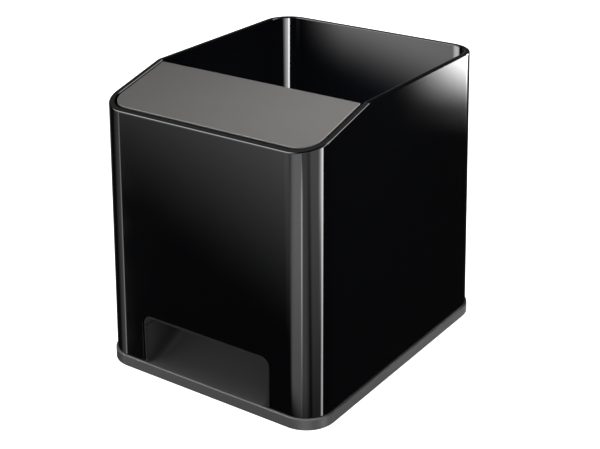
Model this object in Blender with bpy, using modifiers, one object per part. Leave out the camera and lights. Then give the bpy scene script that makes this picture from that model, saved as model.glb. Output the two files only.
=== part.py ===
"""Desk pen holder with a phone slot and a passive sound horn, modelled as its separate moulded pieces.

A gloss sleeve with leaning walls stands on a base plate that is screwed on from below. A satin lid closes the
sloping front of its rim. Behind the lid a pocket takes a phone, whose sound goes down through the pocket's floor
into a horn, and leaves by the outlet at the foot of the front wall. The rest of the sleeve is the pen well.

Metres, +Z up, and the front faces -Y. The origin is on the desk, under the middle of the base.
"""

import math

import bmesh
import bpy
from mathutils import Matrix, Vector

# Sleeve
BODY_HEIGHT = 0.1000
TOP_WIDTH = 0.0838
TOP_DEPTH = 0.1024
DRAFT_SHARE = 0.0222
CORNER_RADIUS = 0.0100
WALL = 0.0020
SLOPE_RUN = 0.0309
SLOPE_DROP = 0.0080
RIM_ROUND = 0.0004
CORNER_STEPS = 8
EDGE_STEPS = 2

# Clearances and construction margins
GAP = 0.0003
BITE = 0.0005
OVERRUN = 0.0100
WELD = 0.000001

# Base plate and its rubber feet
BAND_HEIGHT = 0.0038
BAND_PROUD = 0.0006
BAND_ROUND = 0.0004
BASE_FLOOR = 0.0021
BASE_BORDER = 0.0020
TONGUE_HEIGHT = 0.0030
TONGUE_THICKNESS = 0.0016
FOOT_PROUD = 0.0005
FOOT_RADIUS = 0.0050
FOOT_ROUND = 0.0004
FOOT_EDGE = 0.0145
SOCKET_WALL = 0.0010
SOCKET_SHORT = 0.0004

# Screws and the bosses that they go into
SCREW_RADIUS = 0.0013
SCREW_LENGTH = 0.0100
HEAD_RADIUS = 0.0028
HEAD_HEIGHT = 0.0011
BOSS_RADIUS = 0.0036
BOSS_HEIGHT = 0.0110
BOSS_EDGE = 0.0066
ROUND_STEPS = 24

# Lid of the sloping front
LID_THICKNESS = 0.0018
LID_GAP = 0.0007
LID_ROUND = 0.0003
LID_SETBACK = 0.0008
LEDGE_THICKNESS = 0.0012
LEDGE_REACH = 0.0024
LEDGE_SHORT = 0.0080
LID_RIB_THICKNESS = 0.0016
LID_RIB_DEPTH = 0.0050
LID_RIB_LENGTH = 0.0600
HOOK_SPREAD = 0.0220
HOOK_WIDTH = 0.0080
HOOK_THICKNESS = 0.0014
HOOK_NOSE = 0.0012

# Phone pocket and its pad
POCKET_WALL = 0.0018
POCKET_WIDTH = 0.0130
POCKET_FLOOR = 0.0447
DIVIDER_HEIGHT = 0.0775
GUIDE_THICKNESS = 0.0012
GUIDE_REACH = 0.0020
PAD_THICKNESS = 0.0012
PAD_SIDE = 0.0040

# Horn and its outlet
OUTLET_WIDTH = 0.0528
OUTLET_HEIGHT = 0.0219
OUTLET_RADIUS = 0.0035
HORN_WALL = 0.0009
NOSE_SETBACK = 0.0004
LIP_RISE = 0.0001
RAMP_LEAD = 0.0032
THROAT_WIDTH = 0.0400
THROAT_DEPTH = 0.0098
RAMP_FILLET = 0.0040
LIP_FILLET = 0.0004
CEILING_LEAD = 0.0260
SEAM_DROP = 0.0008
HORN_RINGS = 18
FILLET_STEPS = 5
PARALLEL_SHARE = 0.45
FILLET_GROWTH_SHARE = 0.3
HORN_RIB_THICKNESS = 0.0014
HORN_RIB_SPREAD = 0.0120
HORN_RIB_START = 0.0110
HORN_RIB_END = 0.0030
HORN_BOSS_BACK = 0.0250
HORN_BOSS_HEIGHT = 0.0160
CLIP_FRONT_SHARE = 0.1
CLIP_REAR_SHARE = 0.2
CLIP_DROP = 0.0040
CLIP_THICKNESS = 0.0010

# Heights and places that follow from the sizes above
RIM = FOOT_PROUD + BODY_HEIGHT
BASE_TOP = FOOT_PROUD + BAND_HEIGHT
FLOOR_UNDER = BASE_TOP - BASE_FLOOR
SLEEVE_FOOT = BASE_TOP + GAP
BOSS_FOOT = SLEEVE_FOOT + GAP
PILOT_TOP = FLOOR_UNDER + SCREW_LENGTH + GAP
SLOPE_ANGLE = math.atan2(SLOPE_DROP, SLOPE_RUN)
KINK_Y = -(TOP_DEPTH / 2 + DRAFT_SHARE * SLOPE_DROP) + SLOPE_RUN
LID_REAR = KINK_Y - LID_SETBACK
DIVIDER_FRONT = LID_REAR + POCKET_WIDTH
DIVIDER_REAR = DIVIDER_FRONT + POCKET_WALL
SHELF_TOP = FOOT_PROUD + POCKET_FLOOR
SHELF_UNDER = SHELF_TOP - POCKET_WALL
THROAT_TOP = SHELF_UNDER - GAP
THROAT_REAR = DIVIDER_FRONT - 2 * GAP - HORN_WALL
THROAT_FRONT = THROAT_REAR - THROAT_DEPTH
OUTLET_TOP = FOOT_PROUD + OUTLET_HEIGHT
MOUTH_HALF = OUTLET_WIDTH / 2 - GAP - HORN_WALL
MOUTH_TOP = OUTLET_TOP - GAP - HORN_WALL
LIP_Z = BASE_TOP + LIP_RISE
HORN_SEAT = LIP_Z - HORN_WALL - GAP
HORN_OUTER = MOUTH_HALF + HORN_WALL
MOUTH_RADIUS = OUTLET_RADIUS - GAP - HORN_WALL


def half_width(z, inset=0.0):
    """Half of the sleeve's width at a height, less an inset from its outer face."""
    return TOP_WIDTH / 2 + DRAFT_SHARE * (RIM - z) - inset


def half_depth(z, inset=0.0):
    """Half of the sleeve's depth at a height, less an inset from its outer face."""
    return TOP_DEPTH / 2 + DRAFT_SHARE * (RIM - z) - inset


# Scene and materials

def clear_scene():
    for leftover in list(bpy.data.objects):
        bpy.data.objects.remove(leftover, do_unlink=True)


def new_collection(name):
    collection = bpy.data.collections.new(name)
    bpy.context.scene.collection.children.link(collection)
    return collection


def plastic(name, colour, roughness, metallic=0.0):
    """Principled material in one colour, given as linear red, green and blue."""
    material = bpy.data.materials.new(name)
    material.use_nodes = True
    shader = material.node_tree.nodes["Principled BSDF"]
    shader.inputs["Base Color"].default_value = (*colour, 1.0)
    shader.inputs["Roughness"].default_value = roughness
    shader.inputs["Metallic"].default_value = metallic
    return material


def add_piece(name, bm, material):
    """Object of its own in the pen holder's collection."""
    piece = finish_mesh(name, bm)
    piece.data.materials.append(material)
    PIECES.objects.link(piece)
    return piece


def add_tool(name, bm):
    """Object that only cuts or joins other objects."""
    tool = finish_mesh(name, bm)
    tool.hide_render = True
    tool.display_type = "WIRE"
    TOOLS.objects.link(tool)
    return tool


def finish_mesh(name, bm):
    bmesh.ops.recalc_face_normals(bm, faces=bm.faces)
    mesh = bpy.data.meshes.new(name)
    bm.to_mesh(mesh)
    bm.free()
    return bpy.data.objects.new(name, mesh)


def combine(target, tool, operation):
    modifier = target.modifiers.new(f"{operation.lower()}_{tool.name}"[:60], "BOOLEAN")
    modifier.operation = operation
    modifier.object = tool


def cut(target, *tools):
    for tool in tools:
        combine(target, tool, "DIFFERENCE")


def join(target, *tools):
    for tool in tools:
        combine(target, tool, "UNION")


def keep_inside(target, tool):
    combine(target, tool, "INTERSECT")


def round_edges(target, radius):
    """Small radius on the sharp edges that the object has up to here in its modifiers."""
    modifier = target.modifiers.new("edges", "BEVEL")
    modifier.width = radius
    modifier.segments = EDGE_STEPS
    modifier.limit_method = "ANGLE"
    modifier.angle_limit = math.radians(35)
    modifier.miter_outer = "MITER_ARC"


# Basic forms

def block(x, y, z):
    """Box between pairs of limits."""
    bm = bmesh.new()
    bmesh.ops.create_cube(bm, size=2.0)
    for vert in bm.verts:
        vert.co = Vector(pair[1] if side > 0 else pair[0] for side, pair in zip(vert.co, (x, y, z)))
    return bm


def drafted_block(bottom, top, inset=0.0):
    """Block with the sleeve's lean and round corners, its faces an inset inside the outer faces."""
    bm = bmesh.new()
    bmesh.ops.create_cube(bm, size=2.0)
    for vert in bm.verts:
        z = top if vert.co.z > 0 else bottom
        vert.co = Vector((vert.co.x * half_width(z, inset), vert.co.y * half_depth(z, inset), z))
    upright = [edge for edge in bm.edges if abs(edge.verts[0].co.z - edge.verts[1].co.z) > (top - bottom) / 2]
    bmesh.ops.bevel(
        bm, geom=upright, offset=CORNER_RADIUS - inset, offset_type="OFFSET",
        segments=CORNER_STEPS, profile=0.5, affect="EDGES",
    )
    return bm


def cylinder(x, y, bottom, top, radius):
    bm = bmesh.new()
    middle = Matrix.Translation((x, y, (bottom + top) / 2))
    bmesh.ops.create_cone(
        bm, cap_ends=True, segments=ROUND_STEPS, radius1=radius, radius2=radius,
        depth=top - bottom, matrix=middle,
    )
    return bm


def sloping_block(x, run, depth):
    """Box set square to the sloping rim: its run is measured down the slope and its depth below the rim."""
    bm = block(x, (-run[1], -run[0]), (-depth[1], -depth[0]))
    tilt = Matrix.Translation((0, KINK_Y, RIM)) @ Matrix.Rotation(SLOPE_ANGLE, 4, "X")
    bmesh.ops.transform(bm, matrix=tilt, verts=bm.verts)
    return bm


def prism(outline, middle_x, length):
    """Prism along X over an outline of (y, z) points, made as a filled curve with an extrusion."""
    curve = bpy.data.curves.new("outline", "CURVE")
    curve.dimensions = "2D"
    curve.fill_mode = "BOTH"
    curve.extrude = length / 2
    spline = curve.splines.new("POLY")
    spline.points.add(len(outline) - 1)
    for point, (y, z) in zip(spline.points, outline):
        point.co = (y, z, 0, 1)
    spline.use_cyclic_u = True
    carrier = bpy.data.objects.new("outline", curve)
    TOOLS.objects.link(carrier)
    mesh = bpy.data.meshes.new_from_object(carrier.evaluated_get(bpy.context.evaluated_depsgraph_get()))
    bpy.data.objects.remove(carrier)
    bm = bmesh.new()
    bm.from_mesh(mesh)
    bmesh.ops.remove_doubles(bm, verts=bm.verts, dist=WELD)
    along_x = Matrix(((0, 0, 1, middle_x), (1, 0, 0, 0), (0, 1, 0, 0), (0, 0, 0, 1)))
    bmesh.ops.transform(bm, matrix=along_x, verts=bm.verts)
    return bm


def slope_height(y):
    """Height of the sloping rim's plane over a place in front of the kink."""
    return RIM - (KINK_Y - y) * SLOPE_DROP / SLOPE_RUN


def corner_places(edge):
    """The four places at a distance from the sleeve's outer faces, by name."""
    x = half_width(BASE_TOP, edge)
    y = half_depth(BASE_TOP, edge)
    return {
        "front_left": (-x, -y),
        "front_right": (x, -y),
        "rear_left": (-x, y),
        "rear_right": (x, y),
    }


# Sleeve

def wall_rib(name, limit, bottom, top, reach):
    """Lining inside the sleeve's walls, kept only where a limiting form holds it."""
    rib = add_tool(name, drafted_block(bottom, top, WALL - BITE))
    keep_inside(rib, add_tool(f"{name}_limit", limit))
    cut(rib, add_tool(f"{name}_inside", drafted_block(bottom - OVERRUN, top + OVERRUN, WALL + reach)))
    return rib


def outlet_cutter():
    """Opening through the front wall, round at its upper corners and open below."""
    front = -half_depth(FOOT_PROUD)
    bm = block(
        (-OUTLET_WIDTH / 2, OUTLET_WIDTH / 2),
        (front - OVERRUN, front + OVERRUN),
        (FOOT_PROUD - OVERRUN, OUTLET_TOP),
    )
    upper = [edge for edge in bm.edges if all(vert.co.z > FOOT_PROUD for vert in edge.verts)]
    along_y = [edge for edge in upper if abs(edge.verts[0].co.y - edge.verts[1].co.y) > OVERRUN]
    bmesh.ops.bevel(
        bm, geom=along_y, offset=OUTLET_RADIUS, offset_type="OFFSET",
        segments=CORNER_STEPS, profile=0.5, affect="EDGES",
    )
    return bm


def make_outer_shell():
    gloss = plastic("gloss_black", (0.0035, 0.0035, 0.004), 0.06)
    shell = add_piece("outer_shell", drafted_block(SLEEVE_FOOT - OVERRUN, RIM), gloss)
    hollow = drafted_block(SLEEVE_FOOT - 2 * OVERRUN, RIM + OVERRUN, WALL)
    slope = sloping_block((-TOP_WIDTH, TOP_WIDTH), (0, SLOPE_RUN + OVERRUN), (-OVERRUN, 0))
    cut(shell, add_tool("shell_hollow", hollow), add_tool("shell_slope", slope))
    round_edges(shell, RIM_ROUND)
    below = block((-TOP_WIDTH, TOP_WIDTH), (-TOP_DEPTH, TOP_DEPTH), (SLEEVE_FOOT - 2 * OVERRUN, SLEEVE_FOOT))
    cut(shell, add_tool("shell_foot", below))
    under_lid = LID_THICKNESS + GAP
    ledge = sloping_block(
        (-TOP_WIDTH, TOP_WIDTH),
        (LEDGE_SHORT, SLOPE_RUN + OVERRUN),
        (under_lid, under_lid + LEDGE_THICKNESS),
    )
    join(shell, wall_rib("lid_ledge", ledge, SHELF_TOP, RIM, LEDGE_REACH))
    guide_foot = BASE_TOP + TONGUE_HEIGHT + GAP
    guides = {
        "guide_front": (DIVIDER_FRONT - GAP - GUIDE_THICKNESS, SHELF_UNDER - GAP),
        "guide_rear": (DIVIDER_REAR + GAP, BASE_TOP + DIVIDER_HEIGHT - GUIDE_THICKNESS),
    }
    for name, (front, top) in guides.items():
        limit = block((-TOP_WIDTH, TOP_WIDTH), (front, front + GUIDE_THICKNESS), (guide_foot, top))
        join(shell, wall_rib(name, limit, SLEEVE_FOOT, RIM, GUIDE_REACH))
    for place, (x, y) in corner_places(BOSS_EDGE).items():
        boss = cylinder(x, y, BOSS_FOOT, BOSS_FOOT + BOSS_HEIGHT, BOSS_RADIUS)
        pilot = cylinder(x, y, SLEEVE_FOOT - OVERRUN, PILOT_TOP, SCREW_RADIUS + GAP)
        join(shell, add_tool(f"boss_{place}", boss))
        cut(shell, add_tool(f"pilot_{place}", pilot))
    cut(shell, add_tool("outlet", outlet_cutter()))


# Lid

def make_front_lid():
    satin = plastic("satin_grey", (0.115, 0.112, 0.108), 0.38)
    lid = add_piece("front_lid", drafted_block(SHELF_TOP, RIM, WALL + LID_GAP), satin)
    plane = sloping_block((-TOP_WIDTH, TOP_WIDTH), (-OVERRUN, SLOPE_RUN + OVERRUN), (0, LID_THICKNESS))
    keep_inside(lid, add_tool("lid_plane", plane))
    behind = block((-TOP_WIDTH, TOP_WIDTH), (LID_REAR, TOP_DEPTH), (SHELF_TOP, RIM + OVERRUN))
    cut(lid, add_tool("lid_rear", behind))
    round_edges(lid, LID_ROUND)
    rib_rear = LID_REAR - POCKET_WALL - GAP
    rib_front = rib_rear - LID_RIB_THICKNESS
    rib = block(
        (-LID_RIB_LENGTH / 2, LID_RIB_LENGTH / 2),
        (rib_front, rib_rear),
        (slope_height(rib_front) - LID_THICKNESS - LID_RIB_DEPTH, slope_height(rib_front) - LID_THICKNESS / 2),
    )
    join(lid, add_tool("lid_rib", rib))
    for side, name in ((-1, "left"), (1, "right")):
        hook = prism(lid_hook_outline(), side * HOOK_SPREAD, HOOK_WIDTH)
        join(lid, add_tool(f"lid_hook_{name}", hook))


def lid_hook_outline():
    """Snap hook under the lid that passes the front ledge and grips it from below."""
    ledge_edge = -half_depth(RIM - SLOPE_DROP, WALL + LEDGE_REACH)
    back = ledge_edge + GAP + HOOK_THICKNESS
    under = slope_height(ledge_edge + GAP) - (LID_THICKNESS + LEDGE_THICKNESS + GAP) / math.cos(SLOPE_ANGLE)
    grip = under - 2 * GAP
    return [
        (ledge_edge + GAP, slope_height(ledge_edge) - LID_THICKNESS / 2),
        (ledge_edge + GAP, grip),
        (ledge_edge - HOOK_NOSE, grip - HOOK_NOSE / 2),
        (ledge_edge + GAP, grip - 2 * HOOK_NOSE),
        (back, grip - 2 * HOOK_NOSE),
        (back, slope_height(back) - LID_THICKNESS / 2),
    ]


# Phone pocket

def throat_cutter(bottom, top):
    return block((-THROAT_WIDTH / 2, THROAT_WIDTH / 2), (THROAT_FRONT, THROAT_REAR), (bottom, top))


def make_phone_pocket():
    """Divider of the pen well, the shelf under the phone and the wall in front of it, in one moulding."""
    matt = plastic("matt_black", (0.006, 0.006, 0.0065), 0.45)
    front = LID_REAR - POCKET_WALL
    lid_under = slope_height(front) - LID_THICKNESS / math.cos(SLOPE_ANGLE) - GAP
    outline = [
        (DIVIDER_REAR, BASE_TOP + GAP),
        (DIVIDER_REAR, BASE_TOP + DIVIDER_HEIGHT),
        (DIVIDER_FRONT, BASE_TOP + DIVIDER_HEIGHT),
        (DIVIDER_FRONT, SHELF_TOP),
        (LID_REAR, SHELF_TOP),
        (LID_REAR, lid_under),
        (front, lid_under),
        (front, SHELF_UNDER),
        (DIVIDER_FRONT, SHELF_UNDER),
        (DIVIDER_FRONT, BASE_TOP + GAP),
    ]
    pocket = add_piece("phone_pocket", prism(outline, 0, 2 * TOP_WIDTH), matt)
    inside = drafted_block(FOOT_PROUD, RIM, WALL + GAP)
    keep_inside(pocket, add_tool("pocket_sides", inside))
    cut(pocket, add_tool("pocket_throat", throat_cutter(SHELF_UNDER - OVERRUN, SHELF_TOP + OVERRUN)))


def make_phone_pad():
    """Soft pad that the phone stands on, open over the throat."""
    soft = plastic("soft_pad", (0.02, 0.02, 0.021), 0.85)
    x = half_width(SHELF_TOP, WALL + PAD_SIDE)
    y = (LID_REAR + GAP, DIVIDER_FRONT - GAP)
    pad = add_piece("phone_pad", block((-x, x), y, (SHELF_TOP + GAP, SHELF_TOP + GAP + PAD_THICKNESS)), soft)
    cut(pad, add_tool("pad_throat", throat_cutter(SHELF_TOP - OVERRUN, SHELF_TOP + OVERRUN)))


# Horn

def ramp_point(share):
    """Place (y, z) on the reflector: flat behind the lip, then a parabola that rises to the throat."""
    lip_y = -half_depth(LIP_Z) + NOSE_SETBACK
    y = lip_y + share * (THROAT_REAR - lip_y)
    beyond = max(y - lip_y - RAMP_LEAD, 0)
    run = THROAT_REAR - lip_y - RAMP_LEAD
    return Vector((y, LIP_Z + (THROAT_TOP - LIP_Z) * (beyond / run) ** 2))


def ceiling_point(share):
    """Place (y, z) on the ceiling: a quadratic curve from the mouth, level at first, up to the throat."""
    start = Vector((-half_depth(MOUTH_TOP) + NOSE_SETBACK, MOUTH_TOP))
    bend = start + Vector((CEILING_LEAD, 0))
    end = Vector((THROAT_FRONT, THROAT_TOP))
    return (1 - share) ** 2 * start + 2 * share * (1 - share) * bend + share ** 2 * end


def horn_half_width(share):
    """Half width of the channel: parallel near the mouth, then drawn in to the throat."""
    beyond = max(share - PARALLEL_SHARE, 0) / (1 - PARALLEL_SHARE)
    return MOUTH_HALF + (THROAT_WIDTH / 2 - MOUTH_HALF) * beyond ** 2 * (3 - 2 * beyond)


def quarter(middle_x, middle_h, radius, start):
    """Points of a quarter circle that turns left from a start angle in quarter turns."""
    turns = [start + step / FILLET_STEPS for step in range(FILLET_STEPS + 1)]
    return [
        (middle_x + radius * math.cos(turn * math.pi / 2), middle_h + radius * math.sin(turn * math.pi / 2))
        for turn in turns
    ]


def seam_height(share):
    """Height above the ramp, at one ring, where the lower part's side walls end."""
    return (ceiling_point(share) - ramp_point(share)).length - MOUTH_RADIUS - SEAM_DROP


def seam_point(share):
    foot = ramp_point(share)
    return foot + (ceiling_point(share) - foot).normalized() * seam_height(share)


def horn_section(share, upper):
    """Channel section at one ring, as (x, height above the ramp) points of its lower or upper part."""
    half = horn_half_width(share)
    seam = seam_height(share)
    if upper:
        round_foot = seam + SEAM_DROP
        left = quarter(-half + MOUTH_RADIUS, round_foot, MOUTH_RADIUS, 1)
        right = quarter(half - MOUTH_RADIUS, round_foot, MOUTH_RADIUS, 0)
        return [(half, seam + GAP)] + right + left + [(-half, seam + GAP)]
    growth = min(share / FILLET_GROWTH_SHARE, 1)
    fillet = LIP_FILLET + (RAMP_FILLET - LIP_FILLET) * growth
    left = quarter(-half + fillet, fillet, fillet, 2)
    right = quarter(half - fillet, fillet, fillet, 3)
    return [(-half, seam)] + left + right + [(half, seam)]


def horn_shell(upper):
    """Open surface of the channel's lower or upper part, lofted through its rings from mouth to throat."""
    bm = bmesh.new()
    rings = []
    for ring in range(HORN_RINGS + 1):
        share = ring / HORN_RINGS
        foot = ramp_point(share)
        rise = (ceiling_point(share) - foot).normalized()
        places = [(x, foot + rise * height) for x, height in horn_section(share, upper)]
        rings.append([bm.verts.new((x, place.x, place.y)) for x, place in places])
    for near, far in zip(rings, rings[1:]):
        for column in range(len(near) - 1):
            bm.faces.new((near[column], near[column + 1], far[column + 1], far[column]))
    return bm


def add_horn_piece(name, upper, material):
    """Half of the channel: the lofted surface with its wall thickness put on the outside."""
    piece = add_piece(name, horn_shell(upper), material)
    bm = bmesh.new()
    bm.from_mesh(piece.data)
    middle = Vector((0, ramp_point(0.5).x, (ramp_point(0.5).y + ceiling_point(0.5).y) / 2))
    outward = sum(face.normal.dot(face.calc_center_median() - middle) * face.calc_area() for face in bm.faces)
    if outward < 0:
        bmesh.ops.reverse_faces(bm, faces=bm.faces)
    bm.to_mesh(piece.data)
    bm.free()
    thickness = piece.modifiers.new("wall", "SOLIDIFY")
    thickness.thickness = HORN_WALL
    thickness.offset = 1.0
    thickness.use_even_offset = True
    return piece


def horn_rib_outline():
    """Web under the reflector, from the base plate up into the reflector's wall."""
    lip_y = ramp_point(0).x
    start = lip_y + HORN_RIB_START
    end = THROAT_REAR - HORN_RIB_END
    steps = range(HORN_RINGS + 1)
    shares = [(start + (end - start) * step / HORN_RINGS - lip_y) / (THROAT_REAR - lip_y) for step in steps]
    upper = [(ramp_point(share).x, ramp_point(share).y - HORN_WALL / 2) for share in shares]
    return [(start, SLEEVE_FOOT), (end, SLEEVE_FOOT)] + upper[::-1]


def horn_boss_places():
    """Places of the two screw bosses against the channel's side walls."""
    lip_y = ramp_point(0).x
    share = HORN_BOSS_BACK / (THROAT_REAR - lip_y)
    x = horn_half_width(share) + HORN_WALL + BOSS_RADIUS - BITE
    return {"horn_left": (-x, lip_y + HORN_BOSS_BACK), "horn_right": (x, lip_y + HORN_BOSS_BACK)}


def make_horn_ramp():
    """Lower part of the horn: reflector and side walls, with two webs and two screw bosses."""
    charcoal = plastic("charcoal_ramp", (0.022, 0.022, 0.023), 0.5)
    ramp = add_horn_piece("horn_ramp", False, charcoal)
    for side, name in ((-1, "left"), (1, "right")):
        web = prism(horn_rib_outline(), side * HORN_RIB_SPREAD, HORN_RIB_THICKNESS)
        join(ramp, add_tool(f"horn_web_{name}", web))
    for place, (x, y) in horn_boss_places().items():
        boss = cylinder(x, y, SLEEVE_FOOT, SLEEVE_FOOT + HORN_BOSS_HEIGHT, BOSS_RADIUS)
        pilot = cylinder(x, y, SLEEVE_FOOT - OVERRUN, PILOT_TOP, SCREW_RADIUS + GAP)
        join(ramp, add_tool(f"boss_{place}", boss))
        cut(ramp, add_tool(f"pilot_{place}", pilot))


def make_horn_hood():
    """Upper part of the horn, with a clip on each side that holds it over the lower part."""
    charcoal = plastic("charcoal_hood", (0.022, 0.022, 0.023), 0.5)
    hood = add_horn_piece("horn_hood", True, charcoal)
    front, rear = seam_point(CLIP_FRONT_SHARE), seam_point(CLIP_REAR_SHARE)
    y = (front.x, rear.x)
    bridge_foot = rear.y + 2 * GAP
    bridge_top = bridge_foot + CLIP_THICKNESS
    reach = HORN_OUTER + GAP
    for side, name in ((-1, "left"), (1, "right")):
        tongue_x = sorted((side * reach, side * (reach + CLIP_THICKNESS)))
        bridge_x = sorted((side * (HORN_OUTER - HORN_WALL / 2), side * (reach + CLIP_THICKNESS)))
        clip = add_tool(f"clip_{name}", block(bridge_x, y, (bridge_foot, bridge_top)))
        join(clip, add_tool(f"clip_tongue_{name}", block(tongue_x, y, (front.y - CLIP_DROP, bridge_foot + BITE))))
        join(hood, clip)


# Base plate, feet and screws

def screw_places():
    return {**corner_places(BOSS_EDGE), **horn_boss_places()}


def make_base_plate():
    matt = plastic("matt_grey", (0.055, 0.055, 0.056), 0.55)
    base = add_piece("base_plate", drafted_block(FOOT_PROUD, BASE_TOP, -BAND_PROUD), matt)
    round_edges(base, BAND_ROUND)
    tongue_inset = WALL + GAP
    tongue_top = BASE_TOP + TONGUE_HEIGHT
    tongue = add_tool("tongue", drafted_block(BASE_TOP - BITE, tongue_top, tongue_inset))
    middle = drafted_block(BASE_TOP - OVERRUN, tongue_top + OVERRUN, tongue_inset + TONGUE_THICKNESS)
    cut(tongue, add_tool("tongue_middle", middle))
    horn_space = HORN_OUTER + 2 * GAP + CLIP_THICKNESS
    horn_gate = block((-horn_space, horn_space), (-TOP_DEPTH, 0), (BASE_TOP - OVERRUN, tongue_top + OVERRUN))
    divider_gate = block(
        (-TOP_WIDTH, TOP_WIDTH),
        (DIVIDER_FRONT - GAP, DIVIDER_REAR + GAP),
        (BASE_TOP - OVERRUN, tongue_top + OVERRUN),
    )
    cut(tongue, add_tool("horn_gate", horn_gate), add_tool("divider_gate", divider_gate))
    for place, (x, y) in corner_places(BOSS_EDGE).items():
        room = cylinder(x, y, BASE_TOP - OVERRUN, tongue_top + OVERRUN, BOSS_RADIUS + GAP)
        cut(tongue, add_tool(f"tongue_room_{place}", room))
    join(base, tongue)
    under = drafted_block(FOOT_PROUD - OVERRUN, FLOOR_UNDER, BASE_BORDER)
    seat_front = -half_depth(LIP_Z) + NOSE_SETBACK - GAP
    seat_rear = ramp_point(0).x + HORN_RIB_START - GAP
    seat_x = HORN_OUTER + GAP
    seat = block((-seat_x, seat_x), (seat_front, seat_rear), (HORN_SEAT, BASE_TOP + OVERRUN))
    cut(base, add_tool("base_hollow", under), add_tool("horn_seat", seat))
    for place, (x, y) in corner_places(FOOT_EDGE).items():
        socket_foot = FOOT_PROUD + SOCKET_SHORT
        inner = FOOT_RADIUS + GAP
        socket = add_tool(f"socket_{place}", cylinder(x, y, socket_foot, FLOOR_UNDER + BITE, inner + SOCKET_WALL))
        cut(socket, add_tool(f"socket_room_{place}", cylinder(x, y, FOOT_PROUD - OVERRUN, FLOOR_UNDER, inner)))
        join(base, socket)
    for place, (x, y) in screw_places().items():
        hole = cylinder(x, y, FOOT_PROUD - OVERRUN, BASE_TOP + OVERRUN, SCREW_RADIUS + GAP)
        cut(base, add_tool(f"hole_{place}", hole))


def make_feet():
    """Rubber discs with a round sole edge, which stand a little proud of the base plate's sockets."""
    for place, (x, y) in corner_places(FOOT_EDGE).items():
        rubber = plastic(f"rubber_{place}", (0.012, 0.012, 0.012), 0.9)
        disc = cylinder(x, y, 0, FLOOR_UNDER - GAP, FOOT_RADIUS)
        sole = [edge for edge in disc.edges if all(vert.co.z < FOOT_PROUD for vert in edge.verts)]
        bmesh.ops.bevel(
            disc, geom=sole, offset=FOOT_ROUND, offset_type="OFFSET",
            segments=EDGE_STEPS, profile=0.5, affect="EDGES",
        )
        add_piece(f"foot_{place}", disc, rubber)


def make_screws():
    """Self-tapping screws with pan heads, turned from a profile about their own axis."""
    profile = [
        (0, SCREW_LENGTH),
        (SCREW_RADIUS, SCREW_LENGTH - SCREW_RADIUS),
        (SCREW_RADIUS, -GAP),
        (HEAD_RADIUS, -GAP),
        (HEAD_RADIUS, -GAP - HEAD_HEIGHT / 2),
        (HEAD_RADIUS - HEAD_HEIGHT / 2, -GAP - HEAD_HEIGHT),
        (0, -GAP - HEAD_HEIGHT),
    ]
    for place, (x, y) in screw_places().items():
        steel = plastic(f"steel_{place}", (0.35, 0.35, 0.34), 0.3, 1.0)
        bm = bmesh.new()
        verts = [bm.verts.new((radius, 0, z)) for radius, z in profile]
        for start, end in zip(verts, verts[1:]):
            bm.edges.new((start, end))
        mesh = bpy.data.meshes.new(f"screw_{place}")
        bm.to_mesh(mesh)
        bm.free()
        screw = bpy.data.objects.new(f"screw_{place}", mesh)
        screw.location = (x, y, FLOOR_UNDER)
        screw.data.materials.append(steel)
        PIECES.objects.link(screw)
        turn = screw.modifiers.new("turn", "SCREW")
        turn.steps = ROUND_STEPS
        turn.render_steps = ROUND_STEPS
        turn.use_merge_vertices = True
        turn.merge_threshold = WELD


def shade_pieces():
    for piece in PIECES.objects:
        piece.data.shade_smooth()
        piece.data.set_sharp_from_angle(angle=math.radians(30))


clear_scene()
PIECES = new_collection("pen_holder")
TOOLS = new_collection("tools")
make_outer_shell()
make_front_lid()
make_phone_pocket()
make_phone_pad()
make_horn_ramp()
make_horn_hood()
make_base_plate()
make_feet()
make_screws()
shade_pieces()
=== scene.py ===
"""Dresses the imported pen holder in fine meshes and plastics, in a plain pale studio.

Metres, +Z up, and the front faces -Y, as in the frame. Fine pieces take their sizes and places from the
frame's boxes and from the named values below.
"""

import math

import bmesh
import bpy
from mathutils import Matrix, Vector


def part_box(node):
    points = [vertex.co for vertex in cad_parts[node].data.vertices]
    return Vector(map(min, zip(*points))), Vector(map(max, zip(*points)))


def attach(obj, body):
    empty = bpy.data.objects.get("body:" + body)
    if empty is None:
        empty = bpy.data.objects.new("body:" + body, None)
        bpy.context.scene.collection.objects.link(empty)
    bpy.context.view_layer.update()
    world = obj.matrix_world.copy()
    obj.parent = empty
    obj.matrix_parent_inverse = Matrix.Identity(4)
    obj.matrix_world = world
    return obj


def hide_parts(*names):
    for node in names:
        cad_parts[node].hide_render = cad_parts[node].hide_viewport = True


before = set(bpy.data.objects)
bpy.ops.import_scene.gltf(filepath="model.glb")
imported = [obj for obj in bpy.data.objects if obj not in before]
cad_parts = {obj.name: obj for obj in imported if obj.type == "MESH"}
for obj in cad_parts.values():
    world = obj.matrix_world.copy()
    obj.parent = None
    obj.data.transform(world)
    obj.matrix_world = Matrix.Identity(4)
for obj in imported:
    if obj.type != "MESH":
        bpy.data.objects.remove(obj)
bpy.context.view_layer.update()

# Sleeve, with the ledge for the lid and the guides for the divider
DRAFT_SHARE = 0.0222
CORNER_RADIUS = 0.0100
WALL = 0.0020
SLOPE_RUN = 0.0309
SLOPE_DROP = 0.0080
RIM_EDGE_RADIUS = 0.0004
LEDGE_THICKNESS = 0.0012
LEDGE_REACH = 0.0024
LEDGE_SHORT = 0.0080
GUIDE_REACH = 0.0020
GUIDE_THICKNESS = 0.0012

# Lid
LID_GAP = 0.0007
LID_THICKNESS = 0.0018
LID_EDGE_RADIUS = 0.00025
LID_RIB_THICKNESS = 0.0016
LID_RIB_DEPTH = 0.0050
LID_RIB_LENGTH = 0.0600
HOOK_SPREAD = 0.0220
HOOK_WIDTH = 0.0080
HOOK_THICKNESS = 0.0014
HOOK_NOSE = 0.0012

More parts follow.
